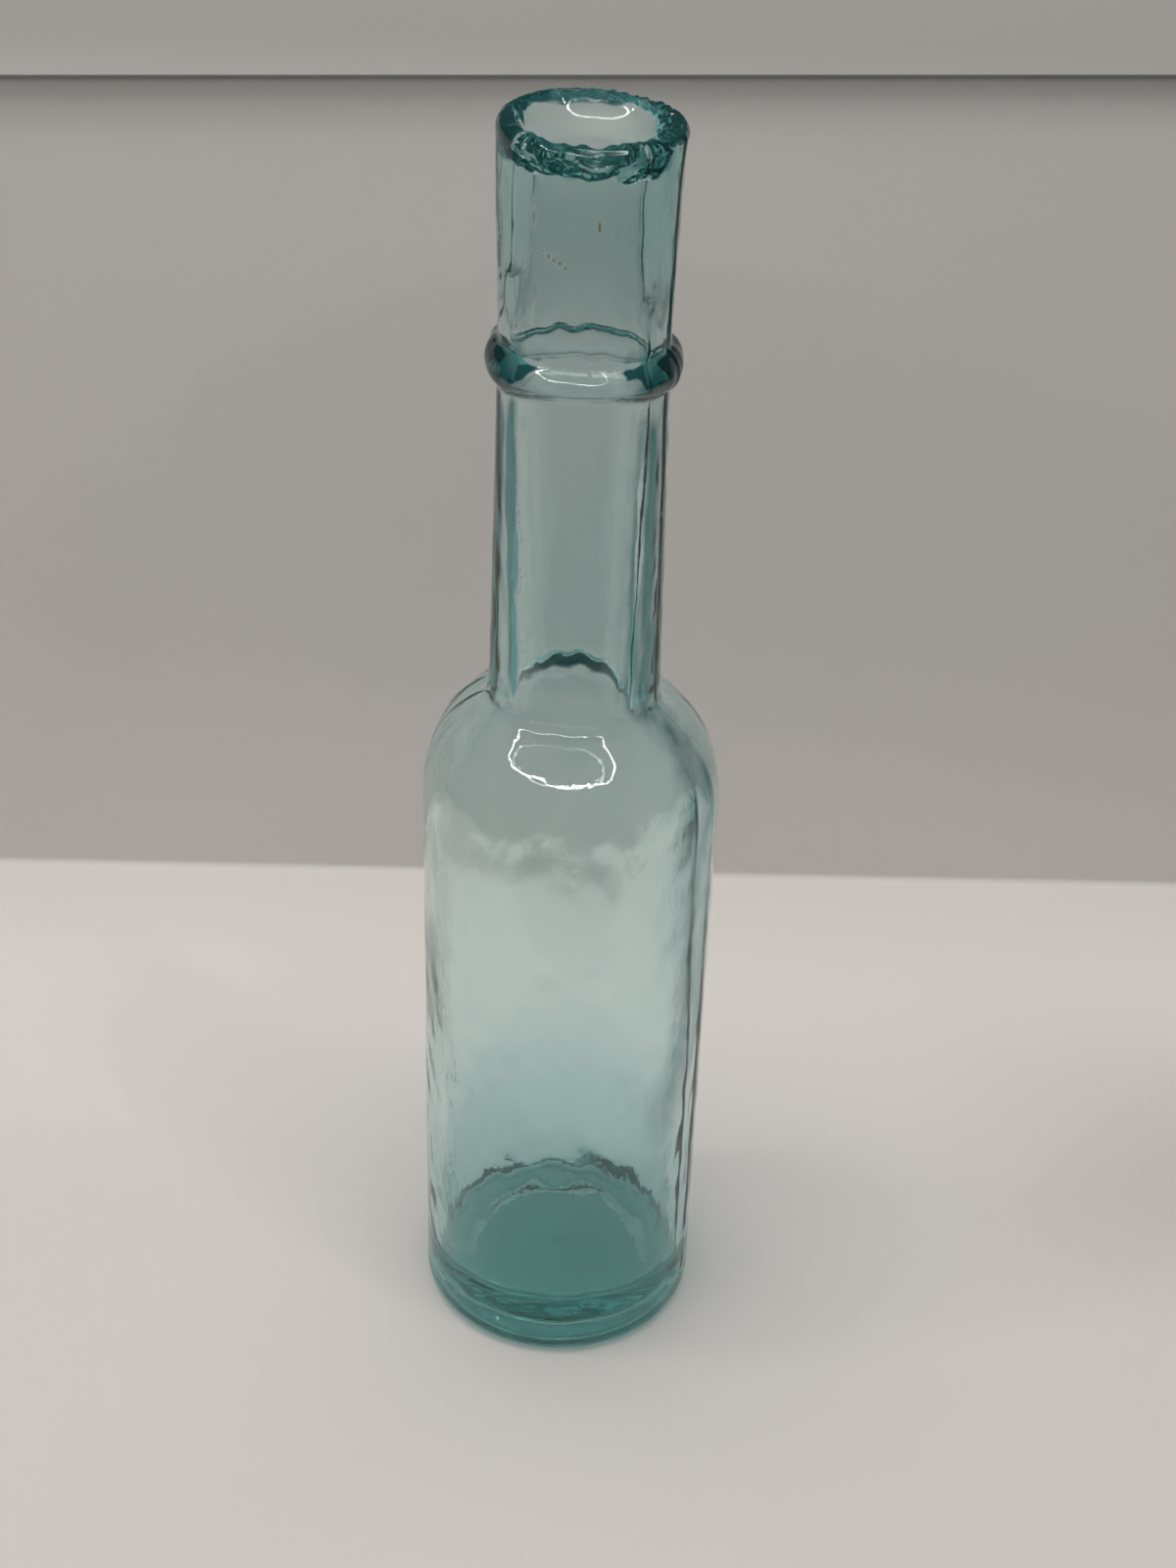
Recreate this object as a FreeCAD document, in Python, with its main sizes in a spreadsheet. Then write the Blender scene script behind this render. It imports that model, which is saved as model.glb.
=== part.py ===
import FreeCAD, Part
import os

import Sketcher

# A mould-blown glass bottle with a tall neck and an open mouth, in millimetres.
# The glass is drawn in the sections that bottle makers name, from the foot up: base, body,
# shoulder, neck, collar ring and lip. Each section is a solid turned about the Z axis and
# stands on the one below it, face to face. The foot rests on Z = 0 and the mouth faces +Z.

# Driving sizes: name, value and meaning
SIZES = (
    ("body_diameter", 45.0, "outside of the straight body"),
    ("body_wall", 3.0, "glass in the body's side and in the shoulder"),
    ("body_length", 91.0, "straight side, from the floor to the shoulder"),
    ("base_thickness", 8.0, "glass from the foot up to the inside floor"),
    ("floor_corner", 3.0, "inside rounding between floor and side"),
    ("heel_radius", 2.6, "outside rounding between side and foot"),
    ("foot_width", 3.4, "flat ring that the bottle stands on"),
    ("push_up_height", 2.0, "height of the flat hollow under the base"),
    ("push_up_slope", 4.0, "width of the hollow's sloped side, in from the foot ring"),
    ("shoulder_height", 18.5, "from the body's top to the neck"),
    ("neck_fillet", 2.5, "hollow rounding between shoulder and neck"),
    ("neck_base_diameter", 25.2, "outside of the neck where it leaves the shoulder"),
    ("neck_waist_diameter", 23.8, "outside of the neck under the collar ring"),
    ("neck_lower_length", 47.9, "from the shoulder to the collar ring"),
    ("neck_upper_length", 23.4, "from the collar ring to the lip"),
    ("neck_bore_diameter", 16.8, "inside of the neck where it leaves the shoulder"),
    ("ring_bore_diameter", 18.2, "inside of the neck at the collar ring, where it is widest"),
    ("cork_bore_diameter", 14.4, "straight inside below the lip, where a cork goes"),
    ("cork_bore_length", 9.0, "straight inside below the lip, along the neck"),
    ("ring_height", 6.2, "collar ring, along the neck"),
    ("ring_standout", 1.7, "collar ring, out from the neck"),
    ("lip_diameter", 24.6, "outside of the lip"),
    ("lip_height", 7.0, "lip section, along the neck"),
    ("lip_rounding", 2.0, "rounding of the lip's outer edge"),
    ("mouth_flare", 2.8, "widening of the mouth, out from the straight bore"),
    ("mouth_depth", 5.4, "widening of the mouth, down from the rim"),
    ("flake_radius", 4.5, "curve of the large flake at the front of the rim"),
    ("flake_depth", 0.9, "depth of the large flake"),
    ("nick_radius", 1.2, "curve of each small nick along the rim"),
    ("nick_depth", 0.8, "depth of each small nick"),
)

# Breaks in the rough rim, in degrees from +X about the Z axis
FLAKE_ANGLE = -82.0
NICK_ANGLES = (-28.0, -9.0, 4.0, 22.0, 37.0, 58.0, 71.0)


class Dim:
    """A length in two forms: its value now, and the formula in the sheet that gives it."""

    def __init__(self, value, formula):
        self.value = value
        self.formula = formula

    def __add__(self, other):
        other = as_dim(other)
        return Dim(self.value + other.value, f"({self.formula} + {other.formula})")

    def __sub__(self, other):
        other = as_dim(other)
        return Dim(self.value - other.value, f"({self.formula} - {other.formula})")

    def __mul__(self, other):
        other = as_dim(other)
        return Dim(self.value * other.value, f"({self.formula} * {other.formula})")

    def __truediv__(self, other):
        other = as_dim(other)
        return Dim(self.value / other.value, f"({self.formula} / {other.formula})")


def as_dim(length):
    """A plain number as a Dim; a Dim as it is."""
    if isinstance(length, Dim):
        return length
    return Dim(float(length), str(float(length)))


def smaller(first, second):
    """The smaller of two lengths, which limits a rounding to the glass that carries it."""
    return Dim(min(first.value, second.value), f"min({first.formula}; {second.formula})")


def make_sheet(doc):
    """Writes the driving sizes to a sheet and gives each as a Dim under its name."""
    sheet = doc.addObject("Spreadsheet::Sheet", "Sizes")
    dims = {}
    for row, (name, value, meaning) in enumerate(SIZES, start=1):
        sheet.set(f"A{row}", name)
        sheet.set(f"B{row}", str(value))
        sheet.set(f"C{row}", meaning)
        sheet.setAlias(f"B{row}", name)
        dims[name] = Dim(value, f"Sizes.{name}")
    doc.recompute()
    return dims


class Outline:
    """A closed half-section of lines and arcs, drawn corner by corner as (radius, height).

    An arc names where its centre lies: level with its start or end (at that corner's height),
    or plumb with it (at that corner's radius).
    """

    def __init__(self, radius, height):
        self.corners = [(as_dim(radius), as_dim(height))]
        self.centres = []

    def line(self, radius, height):
        self.corners.append((as_dim(radius), as_dim(height)))
        self.centres.append(None)

    def arc(self, radius, height, centre):
        self.corners.append((as_dim(radius), as_dim(height)))
        self.centres.append(centre)

    def close(self):
        """Draws the last line, back to the first corner."""
        self.centres.append(None)

    def points(self, index):
        """Start and end of one segment as sketch points."""
        ends = (self.corners[index], self.corners[(index + 1) % len(self.corners)])
        return [FreeCAD.Vector(radius.value, height.value, 0) for radius, height in ends]


def arc_centre(start, end, centre):
    """Centre of the circle through both points that is level or plumb with one of them."""
    place, corner = centre.split()
    near, far = (start, end) if corner == "start" else (end, start)
    across = far.x - near.x
    along = far.y - near.y
    chord = across ** 2 + along ** 2
    if place == "level":
        return FreeCAD.Vector(near.x + chord / (2 * across), near.y, 0)
    return FreeCAD.Vector(near.x, near.y + chord / (2 * along), 0)


def draw_segment(sketch, start, end, centre):
    """Adds one line or arc, and gives its number and which of its ends is the start."""
    if centre is None:
        return sketch.addGeometry(Part.LineSegment(start, end), False), 1, 2
    middle = arc_centre(start, end, centre)
    radius = start.distanceToPoint(middle)
    circle = Part.Circle(middle, FreeCAD.Vector(0, 0, 1), radius)
    anticlockwise = (start - middle).cross(end - middle).z > 0
    first, last = (start, end) if anticlockwise else (end, start)
    shape = Part.ArcOfCircle(circle, circle.parameter(first), circle.parameter(last))
    number = sketch.addGeometry(shape, False)
    return (number, 1, 2) if anticlockwise else (number, 2, 1)


def fix_corner(sketch, number, end, corner, radius, height):
    """Holds one corner at its radius and height, or on the axis or the ground line."""
    across = ("radius", "DistanceX", -2, radius)
    along = ("height", "DistanceY", -1, height)
    for name, kind, axis, length in (across, along):
        if length.value == 0:
            sketch.addConstraint(Sketcher.Constraint("PointOnObject", number, end, axis))
            continue
        index = sketch.addConstraint(Sketcher.Constraint(kind, -1, 1, number, end, length.value))
        sketch.renameConstraint(index, f"{name}_{corner}")
        sketch.setExpression(f"Constraints.{name}_{corner}", length.formula)


def draw_outline(sketch, outline):
    """Draws the outline in the sketch and binds every corner and arc to the sheet."""
    drawn = []
    for index, centre in enumerate(outline.centres):
        start, end = outline.points(index)
        drawn.append(draw_segment(sketch, start, end, centre))
    for index, centre in enumerate(outline.centres):
        number, first, last = drawn[index]
        following, next_first, _ = drawn[(index + 1) % len(drawn)]
        sketch.addConstraint(Sketcher.Constraint("Coincident", number, last, following, next_first))
        radius, height = outline.corners[index]
        fix_corner(sketch, number, first, index, radius, height)
        if centre is not None:
            place, corner = centre.split()
            kind = "Horizontal" if place == "level" else "Vertical"
            end = first if corner == "start" else last
            sketch.addConstraint(Sketcher.Constraint(kind, number, 3, number, end))


def turned_section(doc, label, outline, bottom):
    """A section of the bottle: its outline turned about the Z axis, standing at height bottom."""
    body = doc.addObject("PartDesign::Body", label)
    body.Label = label
    plane = next(item for item in body.Origin.OriginFeatures if item.Role == "XZ_Plane")
    sketch = body.newObject("Sketcher::SketchObject", f"{label}_outline")
    sketch.AttachmentSupport = [(plane, "")]
    sketch.MapMode = "FlatFace"
    draw_outline(sketch, outline)
    turning = body.newObject("PartDesign::Revolution", f"{label}_turning")
    turning.Profile = sketch
    turning.ReferenceAxis = (sketch, ["V_Axis"])
    turning.Angle = 360
    body.setExpression("Placement.Base.z", bottom.formula)
    return body


def base_outline(size):
    """Thick floor: flat on top, heel rounding outside, flat resting ring and push-up below."""
    outer = size["body_diameter"] / 2
    foot_outer = outer - size["heel_radius"]
    foot_inner = foot_outer - size["foot_width"]
    outline = Outline(0, size["push_up_height"])
    outline.line(foot_inner - smaller(size["push_up_slope"], foot_inner * 0.8), size["push_up_height"])
    outline.line(foot_inner, 0)
    outline.line(foot_outer, 0)
    outline.arc(outer, size["heel_radius"], "plumb start")
    outline.line(outer, size["base_thickness"])
    outline.line(0, size["base_thickness"])
    outline.close()
    return outline


def body_outline(size):
    """Straight side of the bottle, rounded inside where it stands on the floor."""
    outer = size["body_diameter"] / 2
    inner = outer - size["body_wall"]
    corner = size["floor_corner"]
    outline = Outline(outer, 0)
    outline.line(outer, size["body_length"])
    outline.line(inner, size["body_length"])
    outline.line(inner, corner)
    outline.arc(inner - corner, 0, "plumb end")
    outline.close()
    return outline


def shoulder_touch(low_radius, high_radius, height, fillet):
    """Where the shoulder's dome turns into the hollow at the neck, as (radius, height).

    The dome leaves the body upright and the hollow fillet ends upright at the neck. Two arcs
    that do so and touch each other have radii that add up to one length, so the dome's radius
    follows from the fillet's.
    """
    width = low_radius - high_radius
    both = (width * width + height * height) / (width * 2)
    dome = both - fillet
    return low_radius - dome * width / both, dome * height / both


def shoulder_outline(size):
    """Domed shoulder, hollow where it meets the neck, with the same shape outside and inside."""
    height = size["shoulder_height"]
    wall = size["body_wall"]
    outer_low = size["body_diameter"] / 2
    outer_high = size["neck_base_diameter"] / 2
    inner_low = outer_low - wall
    inner_high = size["neck_bore_diameter"] / 2
    outline = Outline(outer_low, 0)
    outline.arc(*shoulder_touch(outer_low, outer_high, height, size["neck_fillet"]), "level start")
    outline.arc(outer_high, height, "level end")
    outline.line(inner_high, height)
    outline.arc(*shoulder_touch(inner_low, inner_high, height, size["neck_fillet"] + wall), "level start")
    outline.arc(inner_low, 0, "level end")
    outline.close()
    return outline


def neck_outline(size):
    """Tapered neck with an upright seat where the collar ring goes round it.

    Inside it widens up to the ring and narrows again to the straight bore for the cork.
    """
    waist = size["neck_waist_diameter"] / 2
    cork = size["cork_bore_diameter"] / 2
    seat_top = size["neck_lower_length"] + size["ring_height"]
    top = seat_top + size["neck_upper_length"]
    outline = Outline(size["neck_bore_diameter"] / 2, 0)
    outline.line(size["neck_base_diameter"] / 2, 0)
    outline.line(waist, size["neck_lower_length"])
    outline.line(waist, seat_top)
    outline.line(size["lip_diameter"] / 2, top)
    outline.line(cork, top)
    outline.line(cork, top - size["cork_bore_length"])
    outline.line(size["ring_bore_diameter"] / 2, seat_top - size["ring_height"] / 2)
    outline.close()
    return outline


def collar_ring_outline(size):
    """Rounded bead round the neck's seat."""
    waist = size["neck_waist_diameter"] / 2
    outline = Outline(waist, 0)
    outline.arc(waist + size["ring_standout"], size["ring_height"] / 2, "level end")
    outline.arc(waist, size["ring_height"], "level start")
    outline.close()
    return outline


def lip_outline(size):
    """Top of the neck, rounded over outside, with a mouth that widens to a narrow rim."""
    bore = size["cork_bore_diameter"] / 2
    outer = size["lip_diameter"] / 2
    height = size["lip_height"]
    rounding = smaller(size["lip_rounding"], (outer - bore) * 0.4)
    flare = smaller(size["mouth_flare"], (outer - bore) * 0.56)
    outline = Outline(bore, 0)
    outline.line(outer, 0)
    outline.line(outer, height - rounding)
    outline.arc(outer - rounding, height, "plumb end")
    outline.line(bore + flare, height)
    outline.line(bore, height - smaller(size["mouth_depth"], height * 0.85))
    outline.close()
    return outline


def rim_break(doc, name, angle, reach, rim_height, curve, depth):
    """A ball that takes a hollow break of the given depth out of the rim."""
    ball = doc.addObject("Part::Sphere", name)
    ball.setExpression("Radius", curve.formula)
    ball.setExpression("Placement.Base.x", f"{reach.formula} * cos({angle} deg)")
    ball.setExpression("Placement.Base.y", f"{reach.formula} * sin({angle} deg)")
    ball.setExpression("Placement.Base.z", (rim_height + curve - depth).formula)
    return ball


def rough_lip(doc, size, bottom):
    """The lip with its rough rim: one large flake at the front and small nicks on the right."""
    whole = turned_section(doc, "lip_whole", lip_outline(size), bottom)
    rim = bottom + size["lip_height"]
    middle = (size["lip_diameter"] + size["cork_bore_diameter"]) / 4
    edge = size["lip_diameter"] / 2 - size["lip_rounding"] / 2
    breaks = [rim_break(doc, "flake", FLAKE_ANGLE, middle, rim, size["flake_radius"], size["flake_depth"])]
    for count, angle in enumerate(NICK_ANGLES, start=1):
        nick = rim_break(doc, f"nick_{count}", angle, edge, rim, size["nick_radius"], size["nick_depth"])
        breaks.append(nick)
    joined = doc.addObject("Part::MultiFuse", "rim_breaks")
    joined.Shapes = breaks
    lip = doc.addObject("Part::Cut", "lip")
    lip.Label = "lip"
    lip.Base = whole
    lip.Tool = joined
    return lip


def make_bottle(doc):
    """Stacks the sections and gives them in order from the foot up."""
    size = make_sheet(doc)
    shoulder_bottom = size["base_thickness"] + size["body_length"]
    neck_bottom = shoulder_bottom + size["shoulder_height"]
    ring_bottom = neck_bottom + size["neck_lower_length"]
    lip_bottom = ring_bottom + size["ring_height"] + size["neck_upper_length"]
    return (
        turned_section(doc, "base", base_outline(size), as_dim(0)),
        turned_section(doc, "body", body_outline(size), size["base_thickness"]),
        turned_section(doc, "shoulder", shoulder_outline(size), shoulder_bottom),
        turned_section(doc, "neck", neck_outline(size), neck_bottom),
        turned_section(doc, "collar_ring", collar_ring_outline(size), ring_bottom),
        rough_lip(doc, size, lip_bottom),
    )


def check(doc, sections):
    """Stops if any object failed or any section isn't one sound solid."""
    for item in doc.Objects:
        if "Invalid" in item.State or "Error" in item.State:
            raise RuntimeError(f"{item.Label} failed: {item.State}")
    for section in sections:
        shape = section.Shape
        if shape.isNull() or not shape.isValid() or len(shape.Solids) != 1:
            raise RuntimeError(f"{section.Label} isn't one sound solid")


def main():
    doc = FreeCAD.newDocument("glass_bottle")
    sections = make_bottle(doc)
    doc.recompute()
    check(doc, sections)
    os.makedirs("parts", exist_ok=True)
    for section in sections:
        section.Shape.exportStep(f"parts/{section.Label}.step")
        box = section.Shape.optimalBoundingBox()
        print(f"{section.Label}: Z {box.ZMin:.2f} to {box.ZMax:.2f}, {section.Shape.Volume / 1000:.2f} cm3")


main()
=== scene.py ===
import math

import bpy
import numpy as np
from bpy.props import FloatProperty, FloatVectorProperty, IntProperty, PointerProperty
from bpy.types import Operator, Panel, PropertyGroup
from mathutils import Matrix, Vector


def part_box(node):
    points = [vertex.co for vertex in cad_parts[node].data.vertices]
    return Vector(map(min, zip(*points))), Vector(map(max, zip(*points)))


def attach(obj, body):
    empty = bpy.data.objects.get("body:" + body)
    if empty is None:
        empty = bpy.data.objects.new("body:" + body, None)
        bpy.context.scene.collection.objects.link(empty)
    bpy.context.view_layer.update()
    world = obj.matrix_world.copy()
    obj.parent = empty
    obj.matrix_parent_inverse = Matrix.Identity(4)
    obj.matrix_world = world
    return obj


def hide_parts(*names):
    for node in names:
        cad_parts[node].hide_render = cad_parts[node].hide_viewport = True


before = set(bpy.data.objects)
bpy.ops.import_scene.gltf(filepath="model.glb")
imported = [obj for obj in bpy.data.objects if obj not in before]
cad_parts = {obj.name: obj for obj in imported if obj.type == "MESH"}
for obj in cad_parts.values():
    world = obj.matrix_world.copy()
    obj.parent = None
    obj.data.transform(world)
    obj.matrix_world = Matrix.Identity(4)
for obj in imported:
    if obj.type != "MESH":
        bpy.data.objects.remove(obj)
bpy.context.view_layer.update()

bl_info = {
    "name": "Aqua Glass Bottle",
    "version": (1, 0, 0),
    "blender": (4, 5, 0),
    "location": "3D View > Sidebar > Bottle",
    "description": "Makes an old mould-blown glass bottle on a plain studio floor",
    "category": "Object",
}

SECTIONS = ("base", "body", "shoulder", "neck", "collar_ring", "lip")
MM = 0.001
# Radius of the rows next to the two poles of the glass
AXIS_GAP = 0.2 * MM
# Straight run between an arc of the half-section and the line that follows it
STRAIGHT = 1.0 * MM
# Directions of the mould's seams in degrees: the right is 0, the back 90 and the front -90
SEAMS = (-17, 163)
WHITE = (1.0, 1.0, 1.0, 1.0)


def levels():
    """Heights and radii of the bottle's sections, read from their boxes, in metres."""
    box = {node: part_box(node) for node in SECTIONS}
    return {
        "body_radius": box["body"][1][0],
        "neck_radius": box["neck"][1][0],
        "ring_radius": box["collar_ring"][1][0],
        "lip_radius": box["lip"][1][0],
        "floor": box["base"][1][2],
        "shoulder": box["shoulder"][0][2],
        "neck": box["neck"][0][2],
        "ring_low": box["collar_ring"][0][2],
        "ring_high": box["collar_ring"][1][2],
        "lip": box["lip"][0][2],
        "top": box["lip"][1][2],
    }


# Values that a user would change

class BottleShape(PropertyGroup):
    """Sizes of the glass that the section boxes don't give."""

    side_wall: FloatProperty(
        name="Side Wall", description="Glass in the side of the body", default=3.0 * MM, unit="LENGTH")
    waist_radius: FloatProperty(
        name="Waist Radius", description="Outside of the neck beside the ring", default=11.9 * MM,
        unit="LENGTH")
    neck_bore: FloatProperty(
        name="Neck Bore", description="Inside radius at the neck's foot", default=8.4 * MM, unit="LENGTH")
    ring_bore: FloatProperty(
        name="Ring Bore", description="Inside radius at the collar ring", default=9.2 * MM, unit="LENGTH")
    cork_bore: FloatProperty(
        name="Cork Bore", description="Inside radius below the lip", default=7.2 * MM, unit="LENGTH")
    cork_length: FloatProperty(
        name="Cork Length", description="Length of that bore below the lip", default=9.0 * MM, unit="LENGTH")
    mouth_flare: FloatProperty(
        name="Mouth Flare", description="Widening of the mouth", default=3.2 * MM, unit="LENGTH")
    mouth_depth: FloatProperty(
        name="Mouth Depth", description="Height of the flared mouth", default=5.4 * MM, unit="LENGTH")
    lip_rounding: FloatProperty(
        name="Lip Rounding", description="Rounding of the rim", default=1.8 * MM, unit="LENGTH")
    neck_fillet: FloatProperty(
        name="Neck Fillet", description="Hollow between shoulder and neck", default=2.5 * MM, unit="LENGTH")
    inner_fillet: FloatProperty(
        name="Inner Fillet", description="The same inside the bottle", default=4.3 * MM, unit="LENGTH")
    heel_radius: FloatProperty(
        name="Heel Radius", description="Rounding between side and foot", default=2.6 * MM, unit="LENGTH")
    foot_width: FloatProperty(
        name="Foot Width", description="Flat ring that it stands on", default=3.4 * MM, unit="LENGTH")
    push_up: FloatProperty(
        name="Push-up", description="Height of the hollow under the base", default=2.0 * MM, unit="LENGTH")
    push_up_slope: FloatProperty(
        name="Push-up Slope", description="Width of its sloped side", default=4.0 * MM, unit="LENGTH")
    floor_corner: FloatProperty(
        name="Floor Corner", description="Rounding inside, between floor and side", default=2.4 * MM,
        unit="LENGTH")
    floor_tilt: FloatProperty(
        name="Floor Tilt", description="Slope of the inside floor, down to the back", default=0.12)
    wall_drift: FloatProperty(
        name="Wall Drift", description="How far the inside lies off centre", default=0.7 * MM, unit="LENGTH")
    lump: FloatProperty(
        name="Lumps", description="Height of the slow waves of the inside", default=0.22 * MM, unit="LENGTH")
    fold: FloatProperty(
        name="Fold", description="Extra glass where the side is darker", default=0.15 * MM, unit="LENGTH")
    ripple: FloatProperty(
        name="Ripple", description="Height of the waves of the outside", default=0.11 * MM, unit="LENGTH")
    crinkle: FloatProperty(
        name="Floor Crinkle", description="Waves where the floor meets the side", default=0.11 * MM,
        unit="LENGTH")
    seam_height: FloatProperty(
        name="Seam Height", description="Ridge where the mould halves met", default=0.22 * MM, unit="LENGTH")
    seam_width: FloatProperty(
        name="Seam Width", description="Half the width of that ridge", default=0.45 * MM, unit="LENGTH")
    rim_depth: FloatProperty(
        name="Rim Flakes", description="Depth of the breaks in the rim", default=0.8 * MM, unit="LENGTH")
    seed: IntProperty(name="Seed", description="Chooses the waves and flakes", default=7, min=0)


class BottleLook(PropertyGroup):
    """Colour of the glass."""

    tint: FloatVectorProperty(
        name="Glass Tint", description="Light that a thick piece lets through", subtype="COLOR",
        default=(0.11, 0.745, 0.725), min=0, max=1)
    depth: FloatProperty(
        name="Tint Density", description="How fast the tint builds up with thickness, per metre",
        default=44.0, min=0)
    shadow: FloatVectorProperty(
        name="Shadow Tint", description="Light that passes the bottle to the floor", subtype="COLOR",
        default=(0.52, 0.58, 0.58), min=0, max=1)
    # Painted shade: the glass takes this colour where the mesh marks painted shade, along the fold, at the
    # ring's ends, the neck's edges, the crest and the heel
    fold: FloatVectorProperty(
        name="Fold Tint", description="Light that passes the darkest glass", subtype="COLOR",
        default=(0.03, 0.16, 0.17), min=0, max=1)
    # On the broken rim this colour is painted shade; low down it adds tint to the base and lower body
    rim: FloatVectorProperty(
        name="Rim Tint", description="Light that passes the broken rim and the base", subtype="COLOR",
        default=(0.30, 0.66, 0.65), min=0, max=1)
    # Grey that darkens the upper neck
    neck_grey: FloatVectorProperty(
        name="Smoke", description="Light that passes the dull glass of the upper neck", subtype="COLOR",
        default=(0.52, 0.51, 0.51), min=0, max=1)
    stain: FloatVectorProperty(
        name="Stain", description="Brown specks on the neck", subtype="COLOR",
        default=(0.15, 0.12, 0.06), min=0, max=1)
    pale_patch: FloatVectorProperty(
        name="Film", description="Pale film in the mouth and on the shoulder", subtype="COLOR",
        default=(0.75, 0.76, 0.74), min=0, max=1)
    cloud: FloatVectorProperty(
        name="Cloud", description="Faint colour of the glass itself", subtype="COLOR",
        default=(0.2, 0.75, 0.75), min=0, max=1)


class BottleStage(PropertyGroup):
    """Floor, backdrop, lamps and camera."""

    paper: FloatVectorProperty(
        name="Paper", description="Colour of floor and backdrop", subtype="COLOR",
        default=(0.60, 0.55, 0.53), min=0, max=1)
    wall_distance: FloatProperty(
        name="Backdrop Distance", description="From the bottle's axis to the backdrop",
        default=114.6 * MM, unit="LENGTH")
    wall_height: FloatProperty(
        name="Backdrop Height", description="Height of its step", default=172.8 * MM, unit="LENGTH")
    ledge_slope: FloatProperty(
        name="Ledge Slope", description="Climb of the backdrop's step to the right", default=0.0277)
    ledge_overhang: FloatProperty(
        name="Ledge Overhang", description="How far the step stands out", default=3.0 * MM, unit="LENGTH")
    ledge_height: FloatProperty(
        name="Ledge Height", description="Paper above the step", default=30.0 * MM, unit="LENGTH")
    paper_width: FloatProperty(
        name="Paper Width", description="Width of floor and backdrop", default=800.0 * MM, unit="LENGTH")
    floor_front: FloatProperty(
        name="Floor Front", description="From the bottle's axis to the floor's near edge",
        default=120.0 * MM, unit="LENGTH")
    wall_turn: FloatProperty(
        name="Backdrop Turn", description="Turn of the backdrop about the upright axis",
        default=math.radians(1.39), subtype="ANGLE")
    lamp_power: FloatProperty(
        name="Lamp Power", description="Soft lamp overhead, in watts", default=5.6, min=0)
    lamp_size: FloatProperty(
        name="Lamp Size", description="Side of that lamp", default=0.7, unit="LENGTH")
    lamp_place: FloatVectorProperty(
        name="Lamp Place", description="Middle of that lamp", subtype="TRANSLATION",
        default=(-0.06, 0.0, 0.85))
    lamp_target: FloatVectorProperty(
        name="Lamp Target", description="Point that it faces", subtype="TRANSLATION",
        default=(0.0, 0.0, 0.05))
    ring_strength: FloatProperty(
        name="Ring Strength", description="Brightness of the ring lamp's beads", default=33.0, min=0)
    ring_place: FloatVectorProperty(
        name="Ring Place", description="Middle of the ring lamp", subtype="TRANSLATION",
        default=(-0.06, -0.23, 0.565))
    ring_target: FloatVectorProperty(
        name="Ring Target", description="Point that the ring lamp faces", subtype="TRANSLATION",
        default=(0.0, -0.016, 0.11))
    ring_wide: FloatProperty(
        name="Ring Width", description="Sideways radius of the ring lamp", default=0.37, unit="LENGTH")
    ring_tall: FloatProperty(
        name="Ring Height", description="Upright radius of the ring lamp", default=0.22, unit="LENGTH")
    room: FloatVectorProperty(
        name="Room", description="Colour of the even light from all round", subtype="COLOR",
        default=(0.4, 0.75, 0.75), min=0, max=1)
    sky: FloatProperty(name="Room Light", description="Strength of that light", default=0.12, min=0)
    lens: FloatProperty(name="Lens", description="Focal length in millimetres", default=54.2)
    camera_pitch: FloatProperty(
        name="Camera Pitch", description="How far the camera looks down", default=math.radians(33.51),
        subtype="ANGLE")
    camera_roll: FloatProperty(
        name="Camera Roll", description="Turn of the camera about its line of sight",
        default=math.radians(2.0), subtype="ANGLE")
    camera_distance: FloatProperty(
        name="Camera Distance", description="From the camera to the point it looks at",
        default=357.6 * MM, unit="LENGTH")
    camera_target: FloatVectorProperty(
        name="Camera Target", description="Point that the camera looks at", subtype="TRANSLATION",
        default=(2.55 * MM, 0.0, 99.3 * MM))


# Surfaces

def arc(centre, radius, start, end, count=24):
    """Points on a circle: the centre plus the radius times cosine and sine of even steps in degrees."""
    turn = np.radians(np.linspace(start, end, count))
    return np.column_stack((centre[0] + radius * np.cos(turn), centre[1] + radius * np.sin(turn)))


def shoulder_side(low, high, bottom, height, fillet):
    """One side of the shoulder: a dome leaves the body upright and a hollow fillet ends upright at
    the neck. Two such arcs that touch have radii that add up to one length, so the dome's radius
    follows from the fillet's."""
    width = low - high
    both = (width ** 2 + height ** 2) / (2 * width)
    dome = both - fillet
    turn = math.degrees(math.atan2(height, both - width))
    side = arc((low - dome, bottom), dome, 0, turn)
    hollow = arc((high + fillet, bottom + height), fillet, 180 + turn, 180)
    return np.vstack((side, hollow))


def eased(start, end, count=24):
    """A path from one point to another that leaves and arrives upright: the radius follows a
    smooth step of the height."""
    part = np.linspace(0, 1, count)
    radius = start[0] + (end[0] - start[0]) * part ** 2 * (3 - 2 * part)
    return np.column_stack((radius, start[1] + (end[1] - start[1]) * part))


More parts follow.
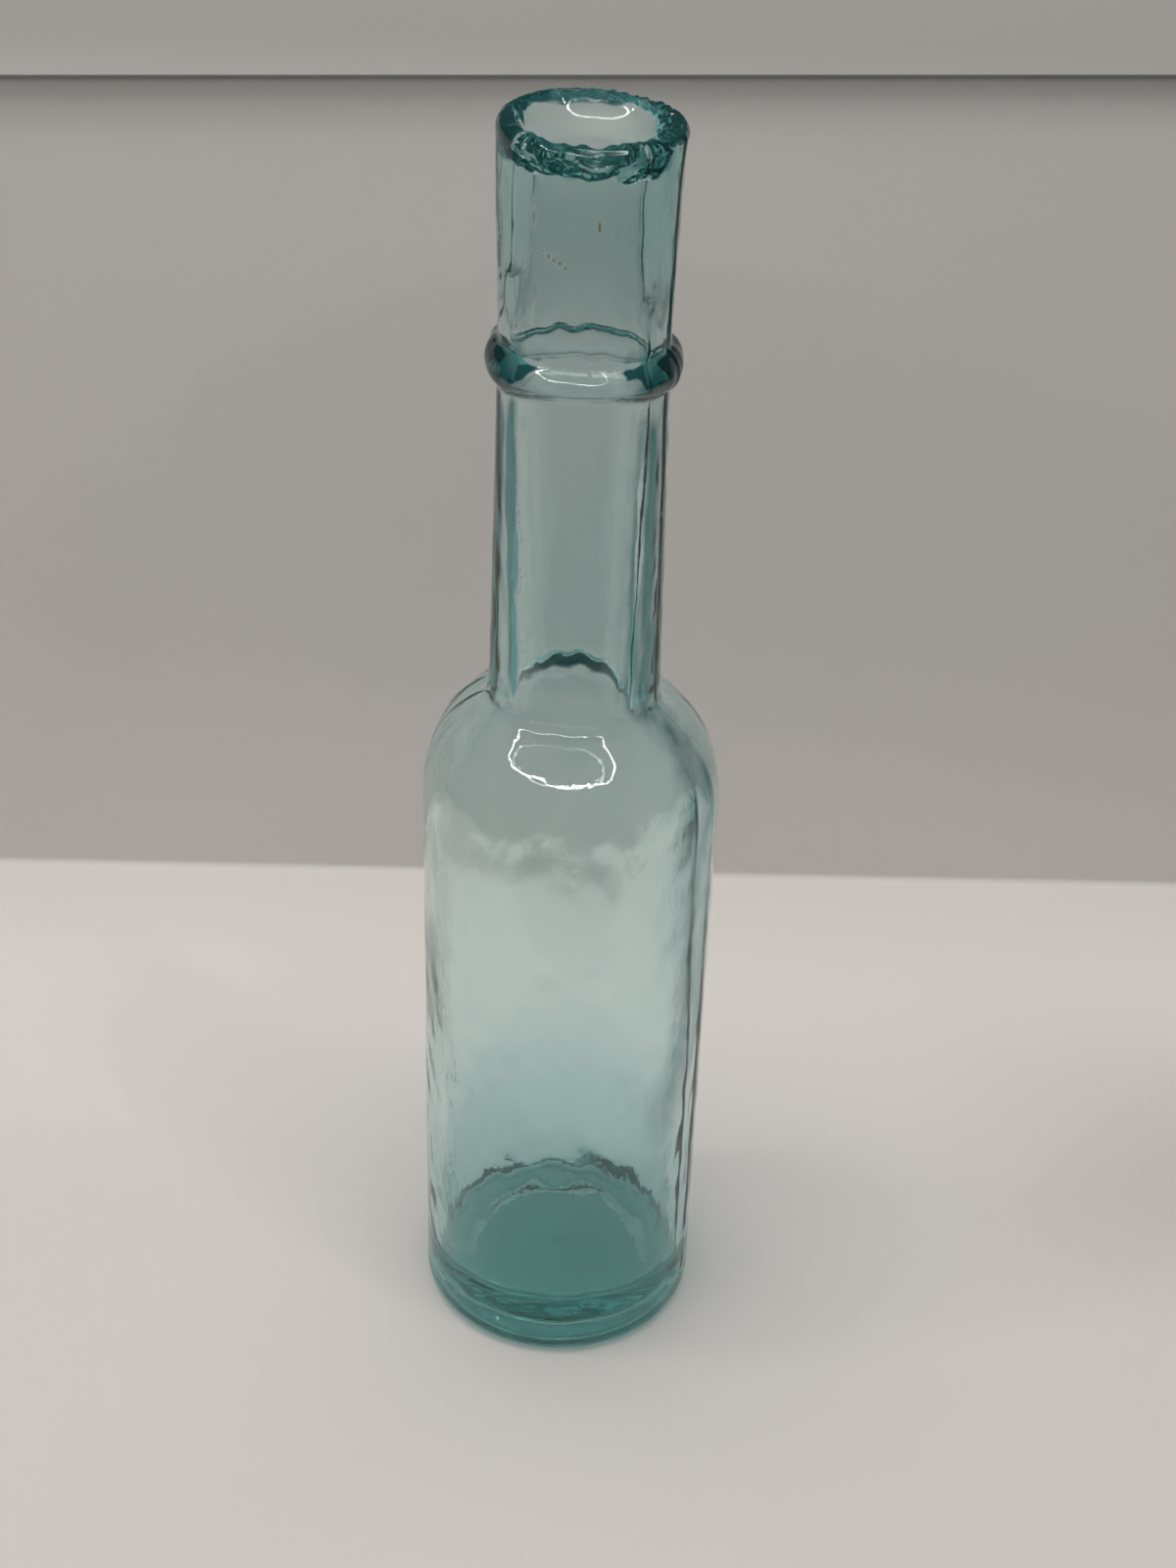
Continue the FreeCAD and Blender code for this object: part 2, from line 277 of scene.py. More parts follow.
def glass_profile(shape):
    """Half-section of the glass as (radius, height): under the foot, up the outside, over the
    rim, down the inside and across the floor, from axis to axis. Gives the points and, for each,
    how close together the rows of the surface lie there, against the other points."""
    level = levels()
    outer = level["body_radius"]
    inner = outer - shape.side_wall
    top = level["top"]

    foot = outer - shape.heel_radius
    hollow = foot - shape.foot_width
    flat = hollow - shape.push_up_slope
    part = np.linspace(0, 1, 24)
    fall = shape.push_up * (1 - part ** 2 * (3 - 2 * part))
    under = np.vstack(([[AXIS_GAP, shape.push_up]], np.column_stack((flat + (hollow - flat) * part, fall))))
    heel = arc((foot, shape.heel_radius), shape.heel_radius, -90, 0)
    side = np.array([[outer, shape.heel_radius + STRAIGHT], [outer, level["shoulder"] - STRAIGHT]])

    rise = level["neck"] - level["shoulder"]
    shoulder = shoulder_side(outer, level["neck_radius"], level["shoulder"], rise, shape.neck_fillet)
    half_ring = (level["ring_high"] - level["ring_low"]) / 2
    ring_middle = level["ring_low"] + half_ring
    neck = np.array([[level["neck_radius"], level["neck"] + 2 * STRAIGHT],
                     [shape.waist_radius, level["ring_low"] - STRAIGHT]])
    standout = level["ring_radius"] - shape.waist_radius
    bead = (half_ring ** 2 + standout ** 2) / (2 * standout)
    open_angle = math.degrees(math.asin(half_ring / bead))
    ring = arc((level["ring_radius"] - bead, ring_middle), bead, -open_angle, open_angle, 40)
    upper = eased((shape.waist_radius, level["ring_high"] + STRAIGHT), (level["lip_radius"], level["lip"]))
    rounding = shape.lip_rounding
    lip = arc((level["lip_radius"] - rounding, top - rounding), rounding, 0, 90)

    narrow = (shape.cork_bore, level["lip"] - shape.cork_length)
    wide = (shape.ring_bore, ring_middle)
    part = np.linspace(1, 0, 20)
    mouth = np.column_stack((shape.cork_bore + shape.mouth_flare * (0.45 * part + 0.55 * part ** 3),
                             top - shape.mouth_depth * (1 - part)))
    bore = np.vstack((eased(narrow, wide), eased(wide, (shape.neck_bore, level["neck"]))[1:]))
    dome = shoulder_side(inner, shape.neck_bore, level["shoulder"], rise, shape.inner_fillet)
    bend, ground = shape.floor_corner, level["floor"]
    well = np.array([[inner, level["shoulder"] - STRAIGHT], [inner, ground + 1.5 * bend]])
    corner = arc((inner - bend, ground + bend), bend, 0, -90)
    floor = np.array([[inner - 1.5 * bend, ground], [AXIS_GAP, ground]])

    parts = (
        (under, 1.5), (heel, 3.0), (side, 0.8), (shoulder, 1.4), (neck, 0.7), (ring, 4.0), (upper, 0.8),
        (lip, 9.0), (mouth, 11.0), (bore, 0.5), (dome[::-1], 0.8), (well, 0.5), (corner, 5.0), (floor, 1.0),
    )
    path = np.vstack([points for points, _ in parts])
    return path, np.concatenate([np.full(len(points), rate) for points, rate in parts])


def spread(path, fineness, count):
    """Re-spaces a path: rows lie closer where fineness, a number for each point, is greater."""
    step = np.linalg.norm(np.diff(path, axis=0), axis=1)
    weight = step * (fineness[1:] + fineness[:-1]) / 2
    along = np.concatenate(([0.0], np.cumsum(weight)))
    want = np.linspace(0, along[-1], count)
    return np.column_stack((np.interp(want, along, path[:, 0]), np.interp(want, along, path[:, 1])))


def bump_at(value, middle, width):
    """A smooth hill: one at the middle, nothing a few widths away."""
    return np.exp(-((value - middle) / width) ** 2)


def above(value, low, soft):
    """Nothing below a limit and one above it, with a smooth step as wide as soft."""
    rise = np.clip((value - low) / soft + 0.5, 0, 1)
    return rise * rise * (3 - 2 * rise)


def below(value, high, soft):
    """One below a limit and nothing above it, with a smooth step as wide as soft."""
    return above(high, value, soft)


def between(value, low, high, soft):
    """One between two limits and nothing outside them, with smooth steps."""
    return above(value, low, soft) * below(value, high, soft)


def around(turn, degrees):
    """Angle from a direction, between minus and plus half a turn."""
    return np.mod(turn - math.radians(degrees) + np.pi, 2 * np.pi) - np.pi


def facing(turn, degrees, width):
    """A smooth hill round the bottle, in a direction in degrees and with a width in radians."""
    return bump_at(around(turn, degrees), 0, width)


def waves(chance, turn, height, count, most, upright):
    """A sum of cosine waves that closes round the bottle: each has a whole number of waves round
    it, up to the most, and a wavelength along it of at least upright."""
    total = np.zeros(np.broadcast(turn, height).shape)
    for _ in range(count):
        number = chance.integers(0, most + 1)
        pace = chance.uniform(-1, 1) * 2 * np.pi / upright
        total += np.cos(number * turn + pace * height + chance.uniform(0, 2 * np.pi))
    return total / math.sqrt(count)


def front_turns(columns):
    """Angles round the Z axis that lie closer together at the front than at the back: even steps
    less a fifth of their cosine."""
    even = np.linspace(0, 2 * np.pi, columns, endpoint=False)
    return even - 0.2 * np.cos(even)


def outward(profile):
    """Unit normals of a half-section, on the right of its direction of travel."""
    travel = np.gradient(profile, axis=0)
    travel /= np.linalg.norm(travel, axis=1)[:, None]
    return travel[:, 1][:, None], -travel[:, 0][:, None]


def closed_lathe(name, points, low_pole, high_pole):
    """A closed mesh from a grid of rows round an axis, with a point at each end."""
    rows, columns = points.shape[:2]
    vertices = np.vstack((points.reshape(-1, 3), [low_pole, high_pole]))
    index = np.arange(rows * columns).reshape(rows, columns)
    right = np.roll(index, -1, axis=1)
    quads = np.stack((index[:-1], right[:-1], right[1:], index[1:]), axis=-1).reshape(-1, 4)
    first = np.full(columns, rows * columns)
    last = first + 1
    start = np.stack((right[0], index[0], first), axis=-1)
    end = np.stack((index[-1], right[-1], last), axis=-1)
    mesh = bpy.data.meshes.new(name)
    mesh.from_pydata(vertices.tolist(), [], quads.tolist() + start.tolist() + end.tolist())
    mesh.polygons.foreach_set("use_smooth", np.ones(len(mesh.polygons), dtype=bool))
    mesh.validate()
    mesh.update()
    return mesh


def outside_move(shape, chance, turn, radius, height):
    """How far the outside lies from its smooth shape: slow and quick waves go inward, and the two
    seams of the mould stand out."""
    swell = waves(chance, turn, height, 14, 5, 40 * MM)
    quick = waves(chance, turn, height, 40, 22, 6 * MM)
    move = -shape.ripple * np.clip(0.9 + 0.45 * swell + 0.4 * quick, 0, 2)
    wander = 0.02 * np.sin(height / (30 * MM))
    for seam in SEAMS:
        away = (around(turn, seam) - wander) * radius
        move = move + shape.seam_height * bump_at(away, 0, shape.seam_width)
    return move


def inside_move(shape, chance, turn, height):
    """How far the inside stands in from its smooth shape: the whole inside lies off centre, most
    of all in the upper body, the glass is lumpy, and it is thicker along the fold that also gets painted
    shade."""
    level = levels()
    uneven = 0.3 + 0.7 * between(height, level["floor"] + 58 * MM, level["shoulder"], 24 * MM)
    lumps = shape.lump * waves(chance, turn, height, 18, 4, 45 * MM)
    return uneven * (shape.wall_drift * np.cos(turn) + lumps) + shape.fold * fold_and_shade_place(turn, height)


def fold_and_shade_place(turn, height):
    """Where the side has a fold of extra glass and painted shade: a soft ribbon down the right of the
    shoulder and body that turns to the front at its lower end, a short patch on the left and a faint veil
    round it."""
    lean = np.radians(-21 - 21 * below(height, 53 * MM, 26 * MM))
    strength = 0.65 * between(height, 46 * MM, 128 * MM, 34 * MM)
    strength = strength + 0.15 * between(height, 42 * MM, 66 * MM, 24 * MM)
    right = strength * bump_at(around(turn, 0), lean, 0.26)
    left = 0.45 * facing(turn, -163, 0.1) * between(height, 60 * MM, 76 * MM, 10 * MM)
    veil = 0.28 * facing(turn, -155, 0.3) * between(height, 15 * MM, 98 * MM, 10 * MM)
    return right + left + veil


def mouth_chamfer(shape, chance, turn, radius, height):
    """How much wider the mouth is at the front: what a cone with a ragged lower end, where the
    edge has broken off, adds to the radius."""
    deep = (4.9 + 0.7 * waves(chance, turn, 0.0, 10, 14, 1.0)) * MM
    cone = shape.cork_bore + shape.mouth_flare * (1 - (levels()["top"] - height) / deep)
    return facing(turn, -85, 1.5) * np.clip(cone - radius, 0, None)


def rim_drop(chance, turn, height):
    """How far the rim lies below its level: it slopes, and the right of its crest has small teeth."""
    top = levels()["top"]
    slope = 0.35 * MM * (1 - np.cos(turn - 2.2)) * bump_at(height, top, 5 * MM)
    teeth = 0.45 * MM * chance.uniform(0, 1, turn.shape) * facing(turn, 45, 0.9)
    return slope + teeth * bump_at(height, top, 1.2 * MM)


def rim_breaks(chance, points, apex, last, depth):
    """Depth of the breaks in the rim, and how rough they are. Each is the part of a ball that dips
    below the surface, depth less the squared distance over twice the ball's radius, and the
    deepest counts. Small ones crackle the mouth's front and the whole crest, and a large smooth
    one has ripples like a shell."""
    turn = np.arctan2(points[apex, :, 1], points[apex, :, 0])
    front = np.flatnonzero(np.abs(around(turn, -83)) < 1.5)
    right = np.flatnonzero(np.abs(around(turn, 40)) < 1.3)
    # Number, columns, first and last row, share of the depth, smallest and largest ball in millimetres
    groups = (
        (60, front, apex + 4, last, 0.5, 1.5, 4.0),
        (60, front, apex + 2, last, 0.3, 0.5, 1.5),
        (120, right, apex - 6, apex + 10, 0.5, 0.3, 0.7),
        (60, np.arange(len(turn)), apex - 4, apex + 12, 0.3, 0.4, 1.2),
    )
    cut = np.zeros(points.shape[:2])
    for count, across, low, high, share, small, large in groups:
        for row, column in zip(chance.integers(low, high, count), chance.choice(across, count)):
            gap = np.sum((points - points[row, column]) ** 2, axis=-1)
            dip = depth * share * chance.uniform(0.5, 1.6)
            cut = np.maximum(cut, dip - gap / (2 * MM * chance.uniform(small, large)))
    shell = points[apex + 18, np.argmin(np.abs(around(turn, -84)))]
    away = np.linalg.norm(points - shell, axis=-1)
    hollow = 1.1 * depth - away ** 2 / (2 * 4.2 * MM)
    arcs = np.cos(2 * np.pi * away / (0.9 * MM))
    rough = np.where(hollow > 0, 0.2 + 0.2 * arcs, np.clip(cut / (0.1 * MM), 0, 1))
    return np.where(hollow > 0, hollow + 0.13 * MM * arcs, cut), rough


def neck_marks(turn, height, outside):
    """Where the neck gets painted shade: both ends of the ring, which reach further to the front
    at its lower edge, and lines along both edges of the neck below it."""
    level = levels()
    low, high = level["ring_low"], level["ring_high"]
    reach = 0.95 - 0.5 * np.clip((height - low) / (high - low), 0, 1)
    ends = facing(turn, -8, reach) + facing(turn, 188, reach)
    ring = 2.4 * outside * ends * between(height, low, high, 1.5 * MM)
    edges = outside * (2.2 * facing(turn, 199, 0.14) + 0.6 * facing(turn, -18, 0.14))
    edges = edges + facing(turn, -36, 0.14)
    return ring + edges * between(height, level["neck"], low - 2 * MM, 6 * MM)


def crest_marks(chance, turn, height, outside):
    """Where the crest of the rim gets painted shade: a ragged, streaky band from left to right round the
    back, deepest at the back and outside."""
    far_side = facing(turn, 95, 1.1)
    ragged = 0.4 + 0.25 * waves(chance, turn, 0.0, 12, 20, 1.0) + far_side * (0.7 + 2.1 * outside)
    streak = 0.75 + 0.35 * waves(chance, turn, 0.0, 16, 50, 1.0)
    band = above(height, levels()["top"] - ragged * MM, 0.8 * MM)
    return streak * band * between(around(turn, 105), -1.85, 1.85, 0.8)


def mark_glass(mesh, chance, turn, radius, height, outside, inside, rough):
    """Stores on the points where the glass gets painted shade, where it is broken, where a pale patch
    lies and where it is etched. The two poles get nothing."""
    top = levels()["top"]
    crest = crest_marks(chance, turn, height, outside)
    # Painted shade at the left and right ends of the rim's front
    corners = facing(turn, 202, 0.22) + 0.8 * facing(turn, -44, 0.2)
    corners = corners * above(height, top - 4.5 * MM, 1.5 * MM)
    # Painted shade round the heel
    heel = 0.5 * below(height, 5 * MM, 3 * MM) * above(radius, 18.5 * MM, 1 * MM)
    # A pale patch inside the back of the mouth, and one on the front right of the shoulder
    mist = inside * between(height, top - 8.5 * MM, top - 2.5 * MM, 2 * MM) * facing(turn, 90, 1.0)
    smear = 0.5 * outside * between(height, 94 * MM, 112 * MM, 8 * MM) * facing(turn, -50, 0.3)
    neck = neck_marks(turn, height, outside)
    marks = {
        # Painted shade standing in for the darker look of the glass along the fold, at the ring's ends, the
        # neck's edges, the heel, the crest and the rim's corners
        "painted_shade": fold_and_shade_place(turn, height) + neck + heel + 1.4 * (crest + corners),
        # The broken rim also takes part of the crest's painted shade
        "broken": np.clip(rough + 0.5 * crest, 0, 1),
        "pale_patch": mist + smear,
        "etched": inside * between(height, 60 * MM, 104 * MM, 20 * MM),
    }
    for name, grid in marks.items():
        values = np.broadcast_to(grid, rough.shape).ravel()
        layer = mesh.attributes.new(name, "FLOAT", "POINT")
        layer.data.foreach_set("value", np.append(values, [0, 0]))


def glass_surface(shape, rows=425, columns=234):
    """The bottle's glass: its half-section turned about the axis, then moved along its own
    normals by waves, seams, folds of the inside and the breaks in the rim."""
    level = levels()
    top, ground = level["top"], level["floor"]
    chance = np.random.default_rng(shape.seed)
    profile = spread(*glass_profile(shape), rows)
    normal_out, normal_up = outward(profile)
    radius, height = profile[:, 0][:, None], profile[:, 1][:, None]
    turn = front_turns(columns)[None, :]
    apex = int(np.argmax(profile[:, 1]))
    count = np.arange(rows)[:, None]
    outside, inside = count < apex, count > apex

    outer_rows = np.clip((apex - count) / 14, 0, 1) * np.clip(height / (6 * MM), 0, 1)
    inner_rows = np.clip((count - apex) / 40, 0, 1) * np.clip((height - ground) / (14 * MM), 0.1, 1)
    corner_rows = inside * bump_at(height, ground + 1 * MM, 3 * MM) * above(radius, 11 * MM, 3 * MM)
    crinkles = waves(chance, turn, height, 16, 22, 9 * MM) + 1.2 * waves(chance, turn, height, 6, 6, 90 * MM)
    move = outer_rows * outside_move(shape, chance, turn, radius, height)
    move = move + inner_rows * inside_move(shape, chance, turn, height)
    move = move + corner_rows * shape.crinkle * crinkles
    out = radius + inside * mouth_chamfer(shape, chance, turn, radius, height) + normal_out * move
    up = height + normal_up * move
    points = np.stack(np.broadcast_arrays(out * np.cos(turn), out * np.sin(turn), up), axis=-1)

    last = int(np.flatnonzero(inside & (height > top - shape.mouth_depth))[-1])
    cut, rough = rim_breaks(chance, points, apex, last, shape.rim_depth)
    spill = 0.6 * MM * outside * bump_at(height, top, 5 * MM) * facing(turn, 0, 0.9)
    ring_edge = bump_at(height, level["ring_low"] + 0.5 * MM, 2.2 * MM)
    lift = 1.8 * MM * outside * ring_edge * facing(turn, -90, 0.8)
    points[..., 0] += (spill - normal_out * cut) * np.cos(turn)
    points[..., 1] += (spill - normal_out * cut) * np.sin(turn)
    points[..., 2] += lift - normal_up * cut - rim_drop(chance, turn, height)
    on_floor = inside * below(height, ground + 12 * MM, 10 * MM)
    points[..., 2] -= shape.floor_tilt * points[..., 1] * on_floor

    foot_middle = (0.0, 0.0, shape.push_up)
    floor_middle = (0.0, 0.0, float(points[-1, :, 2].mean()))
    mesh = closed_lathe("bottle_glass", points, foot_middle, floor_middle)
    mark_glass(mesh, chance, turn, radius, height, outside, inside, rough)
    return mesh


# Materials

class Value:
    """A number on a socket: each operator adds one Math node to the material."""

    def __init__(self, sheet, socket):
        self.sheet = sheet
        self.socket = socket

    def math(self, operation, first, second):
        node = self.sheet.add("ShaderNodeMath", {"operation": operation}, {0: first, 1: second})
        return Value(self.sheet, node.outputs[0])

    def __add__(self, other):
        return self.math("ADD", self, other)

    __radd__ = __add__

    def __mul__(self, other):
        return self.math("MULTIPLY", self, other)

    __rmul__ = __mul__

    def __sub__(self, other):
        return self.math("SUBTRACT", self, other)

    def __rsub__(self, other):
        return self.math("SUBTRACT", other, self)


class NodeSheet:
    """A new material's node tree."""

    def __init__(self, name):
        self.material = bpy.data.materials.new(name)
        self.material.use_nodes = True
        self.tree = self.material.node_tree
        self.tree.nodes.clear()

    def add(self, kind, settings=None, sockets=None):
        """Adds one node: its settings first, then the values or links of its sockets."""
        node = self.tree.nodes.new(kind)
        for name, value in (settings or {}).items():
            setattr(node, name, value)
        for name, value in (sockets or {}).items():
            if isinstance(value, Value):
                value = value.socket
            if isinstance(value, bpy.types.NodeSocket):
                self.tree.links.new(value, node.inputs[name])
            else:
                node.inputs[name].default_value = value
        return node

    def value(self, kind, settings=None, sockets=None, output=0):
        """Adds one node and gives one of its outputs as a Value."""
        return Value(self, self.add(kind, settings, sockets).outputs[output])


def ramp(sheet, value, low, high):
    """Stretches a value so that low becomes nothing and high becomes one."""
    return sheet.value("ShaderNodeMapRange", {"interpolation_type": "SMOOTHSTEP"},
                       {"Value": value, "From Min": low, "From Max": high})


def mixed(sheet, factor, first, second):
    """A colour between two colours."""
    mix = sheet.add("ShaderNodeMix", {"data_type": "RGBA"}, {"Factor": factor, 6: first, 7: second})
    return mix.outputs[2]


def layered(sheet, factor, first, second):
    """A surface between two surfaces."""
    return sheet.add("ShaderNodeMixShader", None, {0: factor, 1: first, 2: second}).outputs[0]


def noise(sheet, place, scale, detail):
    """Cloudy noise, with about as many patches to the metre as its scale."""
    return sheet.value("ShaderNodeTexNoise", None, {"Vector": place, "Scale": scale, "Detail": detail})


def marked(sheet, name):
    """A number that is stored on the points of the mesh."""
    return sheet.value("ShaderNodeAttribute", {"attribute_name": name}, output="Fac")


def spot(sheet, place, turn, height, width, tall, skin=12 * MM, deep=3 * MM):
    """One at a point on the neck, whose outside has the radius skin, and nothing beyond a small
    upright oval round it."""
    angle = math.radians(turn)
    middle = (skin * math.cos(angle), skin * math.sin(angle), height)
    size = (1 / width, 1 / deep, 1 / tall)
    moved = sheet.add("ShaderNodeVectorMath", {"operation": "SUBTRACT"}, {0: place, 1: middle}).outputs[0]
    scaled = sheet.add("ShaderNodeVectorMath", {"operation": "MULTIPLY"}, {0: moved, 1: size}).outputs[0]
    return sheet.value("ShaderNodeTexGradient", {"gradient_type": "SPHERICAL"}, {"Vector": scaled})


def specks(sheet, place):
    """Specks on the neck: a faint upright run, a short dash and a slanting row of five."""
    run = spot(sheet, place, -124.5, 191.7 * MM, 0.7 * MM, 4.2 * MM) * 0.7
    total = run + spot(sheet, place, -82.4, 191.2 * MM, 0.22 * MM, 0.8 * MM) * 3.0
    for step in range(5):
        turn = -117.4 + 3.8 * step
        height = (187.4 - 0.45 * step) * MM
        total = total + spot(sheet, place, turn, height, 0.5 * MM, 0.75 * MM)
    return total


def glass_material(look):
    """Aqua glass: clear, tinted by its own thickness, with fine mould ripples and a faint haze. Its
    skin adds more tint low down, painted shade where the rim is broken and where the mesh marks it,
    and grey on the upper neck. The inside of the upper body is etched, and pale patches and brown specks lie
    on top."""
    sheet = NodeSheet("aqua_glass")
    place = sheet.add("ShaderNodeTexCoord").outputs["Object"]
    height = sheet.add("ShaderNodeSeparateXYZ", None, {"Vector": place}).outputs["Z"]
    upright = sheet.add("ShaderNodeMapping", None, {"Vector": place, "Scale": (1.0, 1.0, 0.35)}).outputs[0]
    streaks = noise(sheet, upright, 240.0, 3.0)
    grain = noise(sheet, place, 900.0, 2.0)
    smears = noise(sheet, place, 70.0, 4.0)
    chips = sheet.value("ShaderNodeTexVoronoi", None, {"Vector": place, "Scale": 1300.0})
    broken = marked(sheet, "broken")
    # Painted shade read from the mesh, streaked by noise
    painted_shade = ramp(sheet, marked(sheet, "painted_shade") * (streaks * 2.0), 0.1, 1.0)
    stain = ramp(sheet, specks(sheet, place) * (grain * 2.0), 0.15, 0.8)
    pale_patch = marked(sheet, "pale_patch") * ramp(sheet, smears, 0.3, 0.7)
    haze = ramp(sheet, smears, 0.52, 0.78)

    low = 0.72 - ramp(sheet, height, 3 * MM, 8 * MM) * 0.34 - ramp(sheet, height, 18 * MM, 48 * MM) * 0.38
    high = ramp(sheet, height, 166 * MM, 182 * MM) * 0.22 - ramp(sheet, height, 191 * MM, 198 * MM) * 0.22
    colour = mixed(sheet, low, WHITE, (*look.rim, 1.0))
    colour = mixed(sheet, high, colour, (*look.neck_grey, 1.0))
    # Painted shade in the rim tint over the broken rim
    colour = mixed(sheet, broken, colour, (*look.rim, 1.0))
    # Painted shade: the fold tint darkens the glass where the mesh marks it
    colour = mixed(sheet, painted_shade, colour, (*look.fold, 1.0))
    relief = streaks + grain * 0.12 + broken * (chips * 2.5)
    clear = sheet.add("ShaderNodeBsdfPrincipled", None, {
        "Base Color": colour,
        "Transmission Weight": 1.0,
        "IOR": 1.52,
        "Roughness": haze * 0.05 + marked(sheet, "etched") * 0.13 + 0.008,
        "Normal": sheet.add("ShaderNodeBump", None, {
            "Strength": 0.12, "Distance": 0.6 * MM, "Height": relief}).outputs[0],
    }).outputs[0]

    cloudy = sheet.add("ShaderNodeBsdfDiffuse", None, {"Color": (*look.cloud, 1.0)}).outputs[0]
    glass = layered(sheet, 0.015 + broken * 0.008, clear, cloudy)
    speck_and_patch_colour = mixed(sheet, stain, (*look.pale_patch, 1.0), (*look.stain, 1.0))
    speck_and_patch_layer = sheet.add("ShaderNodeBsdfDiffuse", None, {"Color": speck_and_patch_colour}).outputs[0]
    glass = layered(sheet, stain * 0.7 + pale_patch * 0.15, glass, speck_and_patch_layer)
    passing = sheet.add("ShaderNodeBsdfTransparent", None, {"Color": (*look.shadow, 1.0)}).outputs[0]
    shadow = sheet.add("ShaderNodeLightPath").outputs["Is Shadow Ray"]
    volume = sheet.add("ShaderNodeVolumeAbsorption", None, {
        "Color": (*look.tint, 1.0),
        "Density": look.depth,
    }).outputs[0]
    sheet.add("ShaderNodeOutputMaterial", None, {
        "Surface": layered(sheet, shadow, glass, passing),
        "Volume": volume,
    })
    return sheet.material


def paper_material(stage):
    """Pale paper with a very slight mottle, clear from behind so that it never hides the bottle.
    The floor carries painted shade, darker near its front, and a band of painted shadow round the bottle
    that is deeper on its right. The wall carries painted shade, darker towards its top."""
    sheet = NodeSheet("pale_paper")
    place = sheet.add("ShaderNodeTexCoord").outputs["Object"]
    split = sheet.add("ShaderNodeSeparateXYZ", None, {"Vector": place}).outputs
    darker = tuple(channel * 0.97 for channel in stage.paper)
    colour = mixed(sheet, noise(sheet, place, 14.0, 4.0), (*stage.paper, 1.0), (*darker, 1.0))
    # Painted shade on the floor: darker towards the front, and a painted shadow band round the bottle,
    # deeper on the right
    far = ramp(sheet, split["Y"], -20 * MM, 90 * MM)
    middle = far * (1.0 - far) * 4.0
    shade = 0.82 + far * 0.18 - middle * (ramp(sheet, split["X"], 60 * MM, 120 * MM) * 0.12 + 0.05)
    # Painted shade on the wall, darker upward and above its step
    shade = shade - ramp(sheet, split["Z"], 0.0, 70 * MM) * 0.07
    shade = shade - ramp(sheet, split["Z"], 168 * MM, 180 * MM) * 0.12
    shaded = sheet.add("ShaderNodeVectorMath", {"operation": "SCALE"}, {0: colour, "Scale": shade})
    paper = sheet.add("ShaderNodeBsdfPrincipled", None, {
        "Base Color": shaded.outputs[0],
        "Roughness": 0.9,
    }).outputs[0]
    clear = sheet.add("ShaderNodeBsdfTransparent").outputs[0]
    behind = sheet.add("ShaderNodeNewGeometry").outputs["Backfacing"]
    sheet.add("ShaderNodeOutputMaterial", None, {"Surface": layered(sheet, behind, paper, clear)})
    return sheet.material


def lamp_material(strength):
    """White light of the ring lamp's beads."""
    sheet = NodeSheet("ring_lamp_light")
    light = sheet.add("ShaderNodeEmission", None, {"Color": (1.0, 0.98, 0.95, 1.0), "Strength": strength})
    sheet.add("ShaderNodeOutputMaterial", None, {"Surface": light.outputs[0]})
    return sheet.material


# Pieces

def place_piece(name, mesh, material):
    """Adds a mesh to the scene at the origin with one material."""
    piece = bpy.data.objects.new(name, mesh)
    bpy.context.scene.collection.objects.link(piece)
    mesh.materials.append(material)
    return piece


class BOTTLE_OT_glass(Operator):
    """Make the bottle's glass as one closed surface"""

    bl_idname = "bottle.glass"
    bl_label = "Glass"

    def execute(self, context):
        mesh = glass_surface(context.scene.bottle_shape)
        glass = place_piece("bottle_glass", mesh, glass_material(context.scene.bottle_look))
        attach(glass, "root")
        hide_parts(*SECTIONS)
        return {"FINISHED"}


def flat_mesh(name, points, faces):
    """A mesh of flat faces."""
    mesh = bpy.data.meshes.new(name)
    mesh.from_pydata(points.reshape(-1, 3).tolist(), [], faces.tolist())
    mesh.update()
    return mesh


def swept_paper(stage, bend=1.5 * MM, ledge_slant=0.2 * MM):
    """Floor, backdrop and the ledge that overhangs it: a bent line drawn sideways across the scene
    and turned a little about the upright axis. The backdrop's step climbs to the right."""
    distance, height = stage.wall_distance, stage.wall_height
    ledge = distance - stage.ledge_overhang
    line = np.vstack((
        [[-stage.floor_front, 0.0]],
        arc((distance - bend, bend), bend, -90, 0, 8),
        [[distance, height], [ledge, height + ledge_slant], [ledge, height + stage.ledge_height]],
    ))
    across = stage.paper_width / 2 * np.array([[-1, 1]])
    away, up = line[:, 0][:, None], line[:, 1][:, None]
    turn = stage.wall_turn
    points = np.stack(np.broadcast_arrays(
        across * math.cos(turn) - away * math.sin(turn),
        across * math.sin(turn) + away * math.cos(turn),
        up + stage.ledge_slope * across * (up > bend)), axis=-1)
    index = np.arange(len(line) * 2).reshape(-1, 2)
    faces = np.stack((index[:-1, 0], index[:-1, 1], index[1:, 1], index[1:, 0]), axis=-1)
    return flat_mesh("paper_floor", points, faces)


def ring_lamp(stage, beads=80, half_bead=10 * MM):
    """Small squares set round an oval of two radii, all facing the lamp's target."""
    turn = np.linspace(0, 2 * np.pi, beads, endpoint=False)[:, None]
    axis = (Vector(stage.ring_target) - Vector(stage.ring_place)).normalized()
    sideways = axis.cross(Vector((0, 0, 1))).normalized()
    upward = np.array(sideways.cross(axis))
    sideways = np.array(sideways)
    ring = stage.ring_wide * np.cos(turn) * sideways + stage.ring_tall * np.sin(turn) * upward
    corner = half_bead * np.array([[-1, -1], [1, -1], [1, 1], [-1, 1]])
    square = corner[:, :1] * sideways + corner[:, 1:] * upward
    points = np.array(stage.ring_place) + ring[:, None, :] + square[None, :, :]
    return flat_mesh("ring_lamp", points, np.arange(beads * 4).reshape(-1, 4))


def add_area_lamp(name, place, target, size, power):
    """A square soft lamp that looks at a point."""
    light = bpy.data.lights.new(name, "AREA")
    light.size = size
    light.energy = power
    lamp = bpy.data.objects.new(name, light)
    lamp.location = place
    lamp.rotation_euler = (Vector(target) - Vector(place)).to_track_quat("-Z", "Y").to_euler()
    bpy.context.scene.collection.objects.link(lamp)
    return lamp


